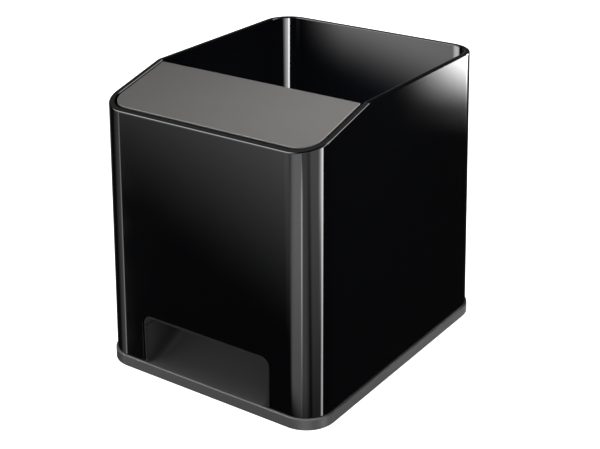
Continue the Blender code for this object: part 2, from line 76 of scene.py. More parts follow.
# Phone pocket
POCKET_WALL = 0.0018
POCKET_EDGE_RADIUS = 0.0003
DIVIDER_HEIGHT = 0.0775

# Outlet and horn
OUTLET_WIDTH = 0.0528
OUTLET_HEIGHT = 0.0219
OUTLET_RADIUS = 0.0035
OUTLET_EDGE_RADIUS = 0.00012
HORN_WALL = 0.0009
HORN_EDGE_RADIUS = 0.0002
NOSE_SETBACK = 0.0004
LIP_RISE = 0.0001
RAMP_LEAD = 0.0032
RAMP_FILLET = 0.0040
LIP_FILLET = 0.0004
CEILING_LEAD = 0.0260
SEAM_DROP = 0.0008
PARALLEL_SHARE = 0.45
FILLET_GROWTH_SHARE = 0.3
THROAT_WIDTH = 0.0400
THROAT_DEPTH = 0.0098
HORN_RIB_THICKNESS = 0.0014
HORN_RIB_SPREAD = 0.0120
HORN_RIB_START = 0.0110
HORN_RIB_END = 0.0030
HORN_BOSS_HEIGHT = 0.0160
CLIP_FRONT_SHARE = 0.1
CLIP_REAR_SHARE = 0.2
CLIP_DROP = 0.0040
CLIP_THICKNESS = 0.0010

# Base plate, bosses, feet and screws
BAND_PROUD = 0.0006
BAND_EDGE_RADIUS = 0.0003
BASE_FLOOR = 0.0021
BASE_BORDER = 0.0020
TONGUE_THICKNESS = 0.0016
SOCKET_WALL = 0.0010
SOCKET_SHORT = 0.0004
BOSS_RADIUS = 0.0036
BOSS_HEIGHT = 0.0110
PILOT_RADIUS = 0.0016
FOOT_EDGE_RADIUS = 0.0004
FOOT_FLAT_SHARE = 0.8
FOOT_DISH = 0.00015
FOOT_DISH_SHARES = (0.75, 0.5, 0.25)
SCREW_RADIUS = 0.0013
SCREW_LENGTH = 0.0100
HEAD_RADIUS = 0.0028
HEAD_HEIGHT = 0.0011
THREAD_PITCH = 0.0010
THREAD_DEPTH = 0.00025
THREAD_SHARE = 0.22
POINT_SHARE = 0.12
RECESS_LENGTH = 0.0030
RECESS_WIDTH = 0.0007
RECESS_DEPTH = 0.0008
RECESS_FLOOR_LENGTH_SHARE = 0.45
RECESS_FLOOR_WIDTH_SHARE = 0.7

# Clearance between pieces, how much closer the sleeve's foot comes to the plate, and how much lower the
# plate's band reaches than in the frame
GAP = 0.0003
FOOT_CLOSER = 0.00025
BAND_LOWER = 0.0003

# How far forms that are joined bite into each other, and cutting forms reach past what they cut
BITE = 0.0005
OVERRUN = 0.0100
SMALL_OVERRUN = 0.0010

# Fineness
CORNER_STEPS = 28
EDGE_STEPS = 4
SMALL_EDGE_STEPS = 3
TINY_EDGE_STEPS = 2
ROUNDED_FROM_DEGREES = 35
SHARP_DEGREES = 30
TURNED_SHARP_DEGREES = 40
NORMAL_WEIGHT = 80
ARC_STEPS = 8
HORN_RINGS = 60
FILLET_STEPS = 10
ROUND_STEPS = 64
THREAD_RINGS = 120
THREAD_STEPS = 40

Y_AXIS = 1
Z_AXIS = 2
HALFWAY = 0.5
ROUND_PROFILE = 0.5

SLEEVE_SCREWS = ("screw_front_left", "screw_front_right", "screw_rear_left", "screw_rear_right")
HORN_SCREWS = ("screw_horn_left", "screw_horn_right")
FEET = ("foot_front_left", "foot_front_right", "foot_rear_left", "foot_rear_right")

# Heights and places read from the frame
sleeve_low, sleeve_high = (Vector(corner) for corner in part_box("outer_shell"))
base_low, base_high = (Vector(corner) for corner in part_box("base_plate"))
lid_high = Vector(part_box("front_lid")[1])
pocket_high = Vector(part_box("phone_pocket")[1])
pad_low = Vector(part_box("phone_pad")[0])
RIM = sleeve_high.z
FOOT = sleeve_low.z - FOOT_CLOSER
LEAN = DRAFT_SHARE * (RIM - FOOT)
TOP_HALF_WIDTH = sleeve_high.x - LEAN
TOP_HALF_DEPTH = sleeve_high.y - LEAN
BASE_FOOT = base_low.z - BAND_LOWER
BASE_TOP = sleeve_low.z - GAP
TONGUE_TOP = base_high.z
FLOOR_UNDER = BASE_TOP - BASE_FLOOR
SLOPE_ANGLE = math.atan2(SLOPE_DROP, SLOPE_RUN)
KINK_Y = -(TOP_HALF_DEPTH + DRAFT_SHARE * SLOPE_DROP) + SLOPE_RUN
LID_REAR = lid_high.y
WIDE = (-2 * TOP_HALF_WIDTH, 2 * TOP_HALF_WIDTH)
OUTLET_TOP = base_low.z + OUTLET_HEIGHT
SHELF_TOP = pad_low.z - GAP
SHELF_UNDER = SHELF_TOP - POCKET_WALL
DIVIDER_REAR = pocket_high.y
DIVIDER_FRONT = DIVIDER_REAR - POCKET_WALL
DIVIDER_TOP = BASE_TOP + DIVIDER_HEIGHT
THROAT_TOP = SHELF_UNDER - GAP
THROAT_REAR = DIVIDER_FRONT - 2 * GAP - HORN_WALL
THROAT_FRONT = THROAT_REAR - THROAT_DEPTH
MOUTH_HALF = OUTLET_WIDTH / 2 - GAP - HORN_WALL
MOUTH_TOP = OUTLET_TOP - GAP - HORN_WALL
MOUTH_RADIUS = OUTLET_RADIUS - GAP - HORN_WALL
LIP_Z = BASE_TOP + LIP_RISE
PILOT_TOP = FLOOR_UNDER + SCREW_LENGTH + GAP


def half_width(z, inset=0.0):
    """Half of the sleeve's width at a height, less an inset from its outer face."""
    return TOP_HALF_WIDTH + DRAFT_SHARE * (RIM - z) - inset


def half_depth(z, inset=0.0):
    """Half of the sleeve's depth at a height, less an inset from its outer face."""
    return TOP_HALF_DEPTH + DRAFT_SHARE * (RIM - z) - inset


def box_middle(node):
    """Middle of a node's box, seen from above."""
    low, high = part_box(node)
    return (low[0] + high[0]) / 2, (low[1] + high[1]) / 2


# Meshes

def add_object(name, bm, keep_normals=False):
    """Object from a mesh form, its faces turned outward unless the form's own way is kept."""
    if not keep_normals:
        bmesh.ops.recalc_face_normals(bm, faces=bm.faces)
    mesh = bpy.data.meshes.new(name)
    bm.to_mesh(mesh)
    bm.free()
    made = bpy.data.objects.new(name, mesh)
    bpy.context.scene.collection.objects.link(made)
    return made


def settle(piece):
    """Turns an object's modifiers into its mesh."""
    mesh = bpy.data.meshes.new_from_object(piece.evaluated_get(bpy.context.evaluated_depsgraph_get()))
    piece.modifiers.clear()
    piece.data = mesh


def take_mesh(piece):
    """Takes an object's mesh for use in another, and removes the object."""
    settle(piece)
    bm = bmesh.new()
    bm.from_mesh(piece.data)
    bpy.data.objects.remove(piece, do_unlink=True)
    return bm


def combine(piece, bm, operation):
    """Joins, cuts or limits a piece with a form, and uses the form up."""
    tool = add_object("tool", bm)
    modifier = piece.modifiers.new(operation.lower(), "BOOLEAN")
    modifier.operation = operation
    modifier.object = tool
    settle(piece)
    bpy.data.objects.remove(tool, do_unlink=True)


def cut(piece, *forms):
    for bm in forms:
        combine(piece, bm, "DIFFERENCE")


def join(piece, bm):
    combine(piece, bm, "UNION")


def keep_inside(piece, bm):
    combine(piece, bm, "INTERSECT")


def unit_cube():
    """Cube with its corners at -1 and 1."""
    bm = bmesh.new()
    bmesh.ops.create_cube(bm, size=2.0)
    return bm


def extent(edge, axis):
    """How far an edge reaches along an axis."""
    return abs(edge.verts[0].co[axis] - edge.verts[1].co[axis])


def round_corners(bm, edges, radius):
    bmesh.ops.bevel(
        bm, geom=edges, offset=radius, offset_type="OFFSET",
        segments=CORNER_STEPS, profile=ROUND_PROFILE, affect="EDGES",
    )


def block(x, y, z):
    """Box between pairs of limits."""
    bm = unit_cube()
    for vert in bm.verts:
        vert.co = Vector(pair[1] if side > 0 else pair[0] for side, pair in zip(vert.co, (x, y, z)))
    return bm


def drafted_block(bottom, top, inset=0.0):
    """Block with the sleeve's lean and round corners, its faces an inset inside the outer faces."""
    bm = unit_cube()
    for vert in bm.verts:
        z = top if vert.co.z > 0 else bottom
        vert.co = Vector((vert.co.x * half_width(z, inset), vert.co.y * half_depth(z, inset), z))
    upright = [edge for edge in bm.edges if extent(edge, Z_AXIS) > (top - bottom) / 2]
    round_corners(bm, upright, CORNER_RADIUS - inset)
    return bm


def cylinder(x, y, bottom, top, radius):
    bm = bmesh.new()
    middle = Matrix.Translation((x, y, (bottom + top) / 2))
    bmesh.ops.create_cone(
        bm, cap_ends=True, segments=ROUND_STEPS, radius1=radius, radius2=radius,
        depth=top - bottom, matrix=middle,
    )
    return bm


def sloping_block(x, run, depth):
    """Box set square to the sloping rim: its run is measured down the slope and its depth below the rim."""
    bm = block(x, (-run[1], -run[0]), (-depth[1], -depth[0]))
    tilt = Matrix.Translation((0, KINK_Y, RIM)) @ Matrix.Rotation(SLOPE_ANGLE, 4, "X")
    bmesh.ops.transform(bm, matrix=tilt, verts=bm.verts)
    return bm


def slope_height(y):
    """Height of the sloping rim's plane over a place in front of the kink."""
    return RIM - (KINK_Y - y) * SLOPE_DROP / SLOPE_RUN


def prism(outline, middle_x, length):
    """Prism along X over an outline of (y, z) points."""
    bm = bmesh.new()
    ends = [
        [bm.verts.new((middle_x + side * length / 2, y, z)) for y, z in outline] for side in (-1, 1)
    ]
    for end in ends:
        bm.faces.new(end)
    for index in range(len(outline)):
        after = (index + 1) % len(outline)
        bm.faces.new((ends[0][index], ends[0][after], ends[1][after], ends[1][index]))
    return bm


def arc(middle_r, middle_z, radius, start, end):
    """Points of an arc in a turned profile, its ends given in degrees."""
    turns = [math.radians(start + (end - start) * step / ARC_STEPS) for step in range(ARC_STEPS + 1)]
    return [(middle_r + radius * math.cos(turn), middle_z + radius * math.sin(turn)) for turn in turns]


def skin(rings):
    """Closed skin through rings of (radius, height) points, with a fan of faces over each end."""
    bm = bmesh.new()
    steps = len(rings[0])
    rows = []
    for ring in rings:
        row = []
        for step, (radius, z) in enumerate(ring):
            turn = 2 * math.pi * step / steps
            row.append(bm.verts.new((radius * math.cos(turn), radius * math.sin(turn), z)))
        rows.append(row)
    for near, far in zip(rows, rows[1:]):
        for step in range(steps):
            after = (step + 1) % steps
            bm.faces.new((near[step], near[after], far[after], far[step]))
    for row in (rows[0], rows[-1]):
        middle = bm.verts.new((0, 0, sum(vert.co.z for vert in row) / steps))
        for step in range(steps):
            bm.faces.new((row[step], row[(step + 1) % steps], middle))
    return bm


def turned(profile):
    """Body turned about Z from a profile of (radius, height) points that starts and ends on the axis."""
    return skin([[place] * ROUND_STEPS for place in profile[1:-1]])


def round_edges(piece, width, segments=EDGE_STEPS):
    """Small radius on every sharp edge."""
    bevel = piece.modifiers.new("edges", "BEVEL")
    bevel.width = width
    bevel.segments = segments
    bevel.limit_method = "ANGLE"
    bevel.angle_limit = math.radians(ROUNDED_FROM_DEGREES)
    bevel.miter_outer = "MITER_ARC"
    settle(piece)


def smooth(piece, sharp_degrees):
    """Smooth shading with sharp edges from an angle up."""
    piece.data.shade_smooth()
    piece.data.set_sharp_from_angle(angle=math.radians(sharp_degrees))


def finish_shading(piece):
    """Smooth shading that keeps flat faces flat and sharp edges sharp."""
    smooth(piece, SHARP_DEGREES)
    shading = piece.modifiers.new("shading", "WEIGHTED_NORMAL")
    shading.keep_sharp = True
    shading.weight = NORMAL_WEIGHT


def dress(piece, node, material):
    """Puts a piece in the place of a node, with its material, on the root body, and hides the node."""
    piece.data.materials.clear()
    piece.data.materials.append(material)
    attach(piece, "root")
    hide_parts(node)


# Materials

GLOSS_BLACK = (0.0011, 0.0012, 0.0016)
SATIN_GREY = (0.106, 0.103, 0.099)
MATT_GREY = (0.052, 0.051, 0.051)
MATT_BLACK = (0.006, 0.006, 0.0065)
CHARCOAL = (0.092, 0.091, 0.095)
GAP_SHADE_BLACK = (0.006, 0.006, 0.006)
RUBBER_TONES = ((0.010, 0.010, 0.010), (0.016, 0.016, 0.016))
FOAM_TONES = ((0.012, 0.012, 0.013), (0.030, 0.030, 0.031))
STEEL_TONES = ((0.36, 0.35, 0.33), (0.48, 0.47, 0.45))

# Moulded plastics: unevenness of their tone, limits of their roughness, and their spark-eroded grain
MOTTLE_SHARES = (0.98, 1.02)
MOTTLE_SCALE = 160
BASE_ROUGHNESS = (0.3348, 0.3852)
LID_ROUGHNESS = (0.35, 0.41)
POCKET_ROUGHNESS = (0.4185, 0.4815)
GRAIN_SCALE = 2600
GRAIN_DEPTH = 0.00001
NOISE_MIDDLE = (0.3, 0.7)

# Painted shade: the lid's edge fades to black between two depths below its face, into the gap round it
LID_SHADE_FADE = (0.0006, 0.0002)

# The plate's ledge changes tone between two depths below the plate's top: a painted highlight along its
# front, which ends within a reach, and painted shade elsewhere
LEDGE_FADE = (0.0004, 0.0002)
LEDGE_FRONT_REACH = 0.007
LEDGE_HIGHLIGHT_SHARE = 3.1
LEDGE_SHADE_SHARE = 0.3
LEDGE_DULLNESS = 0.5

# Painted shade: the horn's nose is dark, which fades out between two distances behind its front and between
# two heights above its lip. Towards its side walls the tone falls to a share, between two distances from
# them, as painted shade in the creases
NOSE_FADE = (0.0001, 0.0007)
LIP_FADE = (0.001, 0.0005)
SIDE_FADE = (0.0002, 0.0022)
SIDE_SHADE_SHARE = 0.32
NOSE_SHADE_SHARE = 0.16

# Painted light: just behind its front the horn is lighter, and it has its plain tone from a depth on
MOUTH_DEPTH = 0.009
MOUTH_PAINTED_LIGHT_SHARE = 1.3
MOUTH_MOTTLE = (0.9, 1.0)


def start_material(name, colour, roughness):
    """Principled material, with its node tree and shader."""
    material = bpy.data.materials.new(name)
    material.use_nodes = True
    tree = material.node_tree
    shader = tree.nodes["Principled BSDF"]
    shader.inputs["Base Color"].default_value = (*colour, 1.0)
    shader.inputs["Roughness"].default_value = roughness
    return material, tree, shader


def scaled(colour, share):
    return tuple(channel * share for channel in colour)


def object_place(tree):
    """Object coordinates as separate X, Y and Z."""
    coordinates = tree.nodes.new("ShaderNodeTexCoord")
    place = tree.nodes.new("ShaderNodeSeparateXYZ")
    tree.links.new(coordinates.outputs["Object"], place.inputs["Vector"])
    return place.outputs


def noise(tree, scale, detail):
    """Noise over object coordinates, in features per metre."""
    coordinates = tree.nodes.new("ShaderNodeTexCoord")
    texture = tree.nodes.new("ShaderNodeTexNoise")
    texture.inputs["Scale"].default_value = scale
    texture.inputs["Detail"].default_value = detail
    tree.links.new(coordinates.outputs["Object"], texture.inputs["Vector"])
    return texture.outputs["Fac"]


def remap(tree, value, low, high):
    """Stretches the middle range of a noise to new limits."""
    node = tree.nodes.new("ShaderNodeMapRange")
    node.inputs["From Min"].default_value, node.inputs["From Max"].default_value = NOISE_MIDDLE
    node.inputs["To Min"].default_value = low
    node.inputs["To Max"].default_value = high
    tree.links.new(value, node.inputs["Value"])
    return node.outputs["Result"]


def calculate(tree, operation, *values):
    """Math node on sockets and plain numbers."""
    node = tree.nodes.new("ShaderNodeMath")
    node.operation = operation
    for socket, value in zip(node.inputs, values):
        if isinstance(value, (int, float)):
            socket.default_value = value
        else:
            tree.links.new(value, socket)
    return node.outputs["Value"]


def soft_step(tree, value, low, high):
    """Rises smoothly from 0 to 1 between two values, or falls if they are given the other way round."""
    node = tree.nodes.new("ShaderNodeMapRange")
    node.interpolation_type = "SMOOTHSTEP"
    node.inputs["From Min"].default_value = low
    node.inputs["From Max"].default_value = high
    tree.links.new(value, node.inputs["Value"])
    return node.outputs["Result"]


def blend(tree, value, first, second):
    """Colour between two by a value. Each is fixed, or another node's."""
    node = tree.nodes.new("ShaderNodeMix")
    node.data_type = "RGBA"
    for socket, colour in zip(("A", "B"), (first, second)):
        if isinstance(colour, tuple):
            node.inputs[socket].default_value = (*colour, 1.0)
        else:
            tree.links.new(colour, node.inputs[socket])
    tree.links.new(value, node.inputs["Factor"])
    return node.outputs["Result"]


def bump(tree, shader, height, distance, strength=1.0):
    node = tree.nodes.new("ShaderNodeBump")
    node.inputs["Distance"].default_value = distance
    node.inputs["Strength"].default_value = strength
    tree.links.new(height, node.inputs["Height"])
    tree.links.new(node.outputs["Normal"], shader.inputs["Normal"])


def mottle(tree, colour):
    """A colour with a slight unevenness of tone."""
    value = remap(tree, noise(tree, MOTTLE_SCALE, detail=5), low=0.0, high=1.0)
    return blend(tree, value, *(scaled(colour, share) for share in MOTTLE_SHARES))


def uneven_roughness(tree, low, high):
    return remap(tree, noise(tree, GRAIN_SCALE, detail=2), low, high)


def start_moulding(name, colour, roughness, specular):
    """Principled material with the fine grain of a spark-eroded mould."""
    material, tree, shader = start_material(name, colour, roughness)
    shader.inputs["Specular IOR Level"].default_value = specular
    bump(tree, shader, noise(tree, GRAIN_SCALE, detail=3), GRAIN_DEPTH)
    return material, tree, shader


def gloss_plastic():
    """Polished black moulding: near-mirror, with faint waviness and a trace of handling in its gloss."""
    material, tree, shader = start_material("gloss_black_plastic", GLOSS_BLACK, roughness=0.045)
    shader.inputs["IOR"].default_value = 1.5
    handling = remap(tree, noise(tree, scale=60, detail=4), low=0.035, high=0.06)
    tree.links.new(handling, shader.inputs["Roughness"])
    bump(tree, shader, noise(tree, scale=90, detail=1), distance=0.000004, strength=0.5)
    return material


def pocket_material():
    """Plain matt black moulding."""
    material, tree, shader = start_moulding("matt_black_plastic", MATT_BLACK, roughness=0.45, specular=0.5)
    tree.links.new(mottle(tree, MATT_BLACK), shader.inputs["Base Color"])
    tree.links.new(uneven_roughness(tree, *POCKET_ROUGHNESS), shader.inputs["Roughness"])
    return material


def base_material():
    """Matt grey moulding; its narrow ledge has a painted highlight along the front, and painted shade and
    more roughness elsewhere.
    """
    material, tree, shader = start_moulding("matt_grey_plastic", MATT_GREY, roughness=0.36, specular=0.42)
    place = object_place(tree)
    ledge = soft_step(tree, place["Z"], *(BASE_TOP - depth for depth in LEDGE_FADE))
    behind = soft_step(tree, place["Y"], -TOP_HALF_DEPTH, -TOP_HALF_DEPTH + LEDGE_FRONT_REACH)
    # Painted highlight on the front of the ledge; painted shade on the rest of it, which is also made rougher
    unhighlit = calculate(tree, "MAXIMUM", calculate(tree, "SUBTRACT", 1.0, ledge), behind)
    shaded_and_dull = calculate(tree, "MULTIPLY", ledge, behind)
    tone = blend(tree, unhighlit, scaled(MATT_GREY, LEDGE_HIGHLIGHT_SHARE), mottle(tree, MATT_GREY))
    unshaded = calculate(tree, "SUBTRACT", 1.0, shaded_and_dull)
    tone = blend(tree, unshaded, scaled(MATT_GREY, LEDGE_SHADE_SHARE), tone)
    tree.links.new(tone, shader.inputs["Base Color"])
    rough = uneven_roughness(tree, *BASE_ROUGHNESS)
    rough = calculate(tree, "MULTIPLY_ADD", shaded_and_dull, LEDGE_DULLNESS, rough)
    tree.links.new(rough, shader.inputs["Roughness"])
    return material


def lid_material():
    """Satin grey plastic on the lid's face, with painted shade that darkens its edge down into the gap round
    it.
    """
    material, tree, shader = start_moulding("satin_grey_plastic", SATIN_GREY, roughness=0.38, specular=0.5)
    place = object_place(tree)
    run = calculate(tree, "SUBTRACT", place["Y"], KINK_Y)
    face = calculate(tree, "MULTIPLY_ADD", run, SLOPE_DROP / SLOPE_RUN, RIM)
    # Painted shade down the lid's edge, below its face
    lit = soft_step(tree, calculate(tree, "SUBTRACT", face, place["Z"]), *LID_SHADE_FADE)
    tree.links.new(blend(tree, lit, GAP_SHADE_BLACK, mottle(tree, SATIN_GREY)), shader.inputs["Base Color"])
    tree.links.new(uneven_roughness(tree, *LID_ROUGHNESS), shader.inputs["Roughness"])
    return material


def horn_material():
    """Charcoal moulding, with painted shade on the narrow nose round the mouth and towards the side walls,
    and painted light just behind the mouth.
    """
    material, tree, shader = start_moulding("charcoal_plastic", CHARCOAL, roughness=0.6, specular=0.1)
    place = object_place(tree)
    # Painted shade on the nose and, in part, towards the side walls
    lean = calculate(tree, "MULTIPLY_ADD", place["Z"], -DRAFT_SHARE, place["Y"])
    nose = -half_depth(0) + NOSE_SETBACK
    inner = soft_step(tree, lean, *(nose + distance for distance in NOSE_FADE))
    lip = soft_step(tree, place["Z"], *(LIP_Z + height for height in LIP_FADE))
    across = calculate(tree, "ABSOLUTE", place["X"])
    side = soft_step(tree, across, *(MOUTH_HALF - distance for distance in SIDE_FADE))
    side = calculate(tree, "MULTIPLY_ADD", side, 1 - SIDE_SHADE_SHARE, SIDE_SHADE_SHARE)
    lit = calculate(tree, "MULTIPLY", calculate(tree, "MAXIMUM", inner, lip), side)
    # Painted light just behind the mouth, fading out with depth
    front = soft_step(tree, lean, nose + MOUTH_DEPTH, nose)
    light = remap(tree, noise(tree, MOTTLE_SCALE, detail=5), *MOUTH_MOTTLE)
    light = calculate(tree, "MULTIPLY", front, light)
    tone = blend(tree, light, CHARCOAL, scaled(CHARCOAL, MOUTH_PAINTED_LIGHT_SHARE))
    tone = blend(tree, lit, scaled(CHARCOAL, NOSE_SHADE_SHARE), tone)
    tree.links.new(tone, shader.inputs["Base Color"])
    return material


def rubber_material():
    """Dull black rubber."""
    material, tree, shader = start_material("foot_rubber", RUBBER_TONES[0], roughness=0.85)
    value = remap(tree, noise(tree, scale=500, detail=4), low=0.0, high=1.0)
    tree.links.new(blend(tree, value, *RUBBER_TONES), shader.inputs["Base Color"])
    bump(tree, shader, noise(tree, scale=2200, detail=3), distance=0.00003)
    return material


def foam_material():
    """Soft foam with small open cells."""
    material, tree, shader = start_material("pad_foam", FOAM_TONES[0], roughness=0.9)
    coordinates = tree.nodes.new("ShaderNodeTexCoord")
    cells = tree.nodes.new("ShaderNodeTexVoronoi")
    cells.inputs["Scale"].default_value = 2400
    tree.links.new(coordinates.outputs["Object"], cells.inputs["Vector"])
    tone = blend(tree, cells.outputs["Distance"], *FOAM_TONES)
    tree.links.new(tone, shader.inputs["Base Color"])
    bump(tree, shader, cells.outputs["Distance"], distance=0.00008)
    return material


def steel_material():
    """Plated steel with uneven gloss."""
    material, tree, shader = start_material("screw_steel", STEEL_TONES[0], roughness=0.32)
    shader.inputs["Metallic"].default_value = 1.0
    value = remap(tree, noise(tree, scale=900, detail=4), low=0.0, high=1.0)
    tree.links.new(blend(tree, value, *STEEL_TONES), shader.inputs["Base Color"])
    rough = remap(tree, noise(tree, scale=3000, detail=2), low=0.26, high=0.4)
    tree.links.new(rough, shader.inputs["Roughness"])
    return material


# Sleeve

def wall_lining(limit, bottom, top, reach):
    """Lining inside the sleeve's walls, kept only where a limiting form holds it."""
    lining = add_object("lining", drafted_block(bottom, top, WALL - BITE))
    keep_inside(lining, limit)
    cut(lining, drafted_block(bottom - OVERRUN, top + OVERRUN, WALL + reach))
    return take_mesh(lining)


def outlet_cutter():
    """Opening through the front wall, round at its upper corners and open below."""
    front = -half_depth(FOOT)
    across = (-OUTLET_WIDTH / 2, OUTLET_WIDTH / 2)
    bm = block(across, (front - OVERRUN, front + OVERRUN), (FOOT - OVERRUN, OUTLET_TOP))
    upper = [edge for edge in bm.edges if all(vert.co.z > FOOT for vert in edge.verts)]
    round_corners(bm, [edge for edge in upper if extent(edge, Y_AXIS) > OVERRUN], OUTLET_RADIUS)
    return bm


def sharpen_kink(sleeve):
    """Keeps the kink of the rim crisp, where its angle is too blunt to count as sharp."""
    for edge in sleeve.data.edges:
        places = [sleeve.data.vertices[index].co for index in edge.vertices]
        if all(abs(place.y - KINK_Y) < GAP / 2 and place.z > RIM - 2 * GAP for place in places):
            edge.use_edge_sharp = True


def sleeve_walls():
    """Leaning walls with the slanted rim, the outlet and their small radii."""
    sleeve = add_object("sleeve", drafted_block(FOOT - OVERRUN, RIM))
    cut(sleeve, drafted_block(FOOT - 2 * OVERRUN, RIM + OVERRUN, WALL))
    cut(sleeve, sloping_block(WIDE, (0, SLOPE_RUN + OVERRUN), (-OVERRUN, 0)))
    round_edges(sleeve, RIM_EDGE_RADIUS)
    cut(sleeve, block(WIDE, (-2 * TOP_HALF_DEPTH, 2 * TOP_HALF_DEPTH), (FOOT - 2 * OVERRUN, FOOT)))
    cut(sleeve, outlet_cutter())
    round_edges(sleeve, OUTLET_EDGE_RADIUS, TINY_EDGE_STEPS)
    return sleeve


def line_walls(sleeve):
    """Puts the lid's ledge and the divider's guides inside the walls."""
    under_lid = LID_THICKNESS + GAP
    ledge = sloping_block(WIDE, (LEDGE_SHORT, SLOPE_RUN + OVERRUN), (under_lid, under_lid + LEDGE_THICKNESS))
    join(sleeve, wall_lining(ledge, SHELF_TOP, RIM, LEDGE_REACH))
    guides = {
        DIVIDER_FRONT - GAP - GUIDE_THICKNESS: SHELF_UNDER - GAP,
        DIVIDER_REAR + GAP: DIVIDER_TOP - GUIDE_THICKNESS,
    }
    for front, top in guides.items():
        limit = block(WIDE, (front, front + GUIDE_THICKNESS), (TONGUE_TOP + GAP, top))
        join(sleeve, wall_lining(limit, FOOT, RIM, GUIDE_REACH))


def make_sleeve(material):
    sleeve = sleeve_walls()
    line_walls(sleeve)
    for x, y in map(box_middle, SLEEVE_SCREWS):
        join(sleeve, cylinder(x, y, FOOT + GAP, FOOT + GAP + BOSS_HEIGHT, BOSS_RADIUS))
        cut(sleeve, cylinder(x, y, FOOT - OVERRUN, PILOT_TOP, PILOT_RADIUS))
    finish_shading(sleeve)
    sharpen_kink(sleeve)
    dress(sleeve, "outer_shell", material)


# Lid

def lid_hook_outline():
    """Snap hook under the lid that passes the front ledge and grips it from below."""
    ledge_edge = -half_depth(RIM - SLOPE_DROP, WALL + LEDGE_REACH)
    back = ledge_edge + GAP + HOOK_THICKNESS
    ledge_depth = LID_THICKNESS + LEDGE_THICKNESS + GAP
    grip = slope_height(ledge_edge + GAP) - ledge_depth / math.cos(SLOPE_ANGLE) - 2 * GAP
    return [
        (ledge_edge + GAP, slope_height(ledge_edge) - LID_THICKNESS / 2),
        (ledge_edge + GAP, grip),
        (ledge_edge - HOOK_NOSE, grip - HOOK_NOSE / 2),
        (ledge_edge + GAP, grip - 2 * HOOK_NOSE),
        (back, grip - 2 * HOOK_NOSE),
        (back, slope_height(back) - LID_THICKNESS / 2),
    ]


def make_lid(material):
    lid = add_object("lid", drafted_block(SHELF_TOP, RIM, WALL + LID_GAP))
    keep_inside(lid, sloping_block(WIDE, (-OVERRUN, SLOPE_RUN + OVERRUN), (0, LID_THICKNESS)))
    cut(lid, block(WIDE, (LID_REAR, 2 * TOP_HALF_DEPTH), (SHELF_TOP, RIM + OVERRUN)))
    round_edges(lid, LID_EDGE_RADIUS)
    rib_rear = LID_REAR - POCKET_WALL - GAP
    rib_front = rib_rear - LID_RIB_THICKNESS
    rib_root = slope_height(rib_front) - LID_THICKNESS
    along = (-LID_RIB_LENGTH / 2, LID_RIB_LENGTH / 2)
    join(lid, block(along, (rib_front, rib_rear), (rib_root - LID_RIB_DEPTH, rib_root + LID_THICKNESS / 2)))
    for side in (-1, 1):
        join(lid, prism(lid_hook_outline(), side * HOOK_SPREAD, HOOK_WIDTH))
    finish_shading(lid)
    dress(lid, "front_lid", material)


# Phone pocket and its pad

def throat_cutter(bottom, top):
    """Upright opening through which the sound goes down into the horn."""
    return block((-THROAT_WIDTH / 2, THROAT_WIDTH / 2), (THROAT_FRONT, THROAT_REAR), (bottom, top))


def make_pocket(material):
    front = LID_REAR - POCKET_WALL
    lid_under = slope_height(front) - LID_THICKNESS / math.cos(SLOPE_ANGLE) - GAP
    outline = [
        (DIVIDER_REAR, BASE_TOP + GAP), (DIVIDER_REAR, DIVIDER_TOP), (DIVIDER_FRONT, DIVIDER_TOP),
        (DIVIDER_FRONT, SHELF_TOP), (LID_REAR, SHELF_TOP), (LID_REAR, lid_under), (front, lid_under),
        (front, SHELF_UNDER), (DIVIDER_FRONT, SHELF_UNDER), (DIVIDER_FRONT, BASE_TOP + GAP),
    ]
    pocket = add_object("pocket", prism(outline, 0, 4 * TOP_HALF_WIDTH))
    keep_inside(pocket, drafted_block(FOOT - OVERRUN, RIM, WALL + GAP))
    cut(pocket, throat_cutter(SHELF_UNDER - OVERRUN, SHELF_TOP + OVERRUN))
    round_edges(pocket, POCKET_EDGE_RADIUS, SMALL_EDGE_STEPS)
    finish_shading(pocket)
    dress(pocket, "phone_pocket", material)


def make_pad(material):
    limits = zip(*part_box("phone_pad"))
    pad = add_object("pad", block(*limits))
    cut(pad, throat_cutter(SHELF_TOP - OVERRUN, SHELF_TOP + OVERRUN))
    round_edges(pad, POCKET_EDGE_RADIUS, SMALL_EDGE_STEPS)
    finish_shading(pad)
    dress(pad, "phone_pad", material)


# Horn

def ramp_point(share):
    """Place (y, z) on the reflector: flat behind the lip, then a parabola that rises to the throat."""
    lip_y = -half_depth(LIP_Z) + NOSE_SETBACK
    y = lip_y + share * (THROAT_REAR - lip_y)
    beyond = max(y - lip_y - RAMP_LEAD, 0)
    run = THROAT_REAR - lip_y - RAMP_LEAD
    return Vector((y, LIP_Z + (THROAT_TOP - LIP_Z) * (beyond / run) ** 2))


def ceiling_point(share):
    """Place (y, z) on the ceiling: a quadratic curve from the mouth, level at first, up to the throat."""
    start = Vector((-half_depth(MOUTH_TOP) + NOSE_SETBACK, MOUTH_TOP))
    bend = start + Vector((CEILING_LEAD, 0))
    end = Vector((THROAT_FRONT, THROAT_TOP))
    return (1 - share) ** 2 * start + 2 * share * (1 - share) * bend + share ** 2 * end


def horn_half_width(share):
    """Half width of the channel: parallel near the mouth, then drawn in to the throat."""
    beyond = max(share - PARALLEL_SHARE, 0) / (1 - PARALLEL_SHARE)
    return MOUTH_HALF + (THROAT_WIDTH / 2 - MOUTH_HALF) * beyond ** 2 * (3 - 2 * beyond)


def quarter(middle_x, middle_h, radius, start):
    """Points of a quarter circle that turns left from a start angle in quarter turns."""
    turns = [(start + step / FILLET_STEPS) * math.pi / 2 for step in range(FILLET_STEPS + 1)]
    return [(middle_x + radius * math.cos(turn), middle_h + radius * math.sin(turn)) for turn in turns]


def seam_height(share):
    """Height above the ramp, at one ring, where the lower part's side walls end."""
    return (ceiling_point(share) - ramp_point(share)).length - MOUTH_RADIUS - SEAM_DROP


def seam_point(share):
    """Place (y, z) where the lower part's side walls end."""
    foot = ramp_point(share)
    return foot + (ceiling_point(share) - foot).normalized() * seam_height(share)


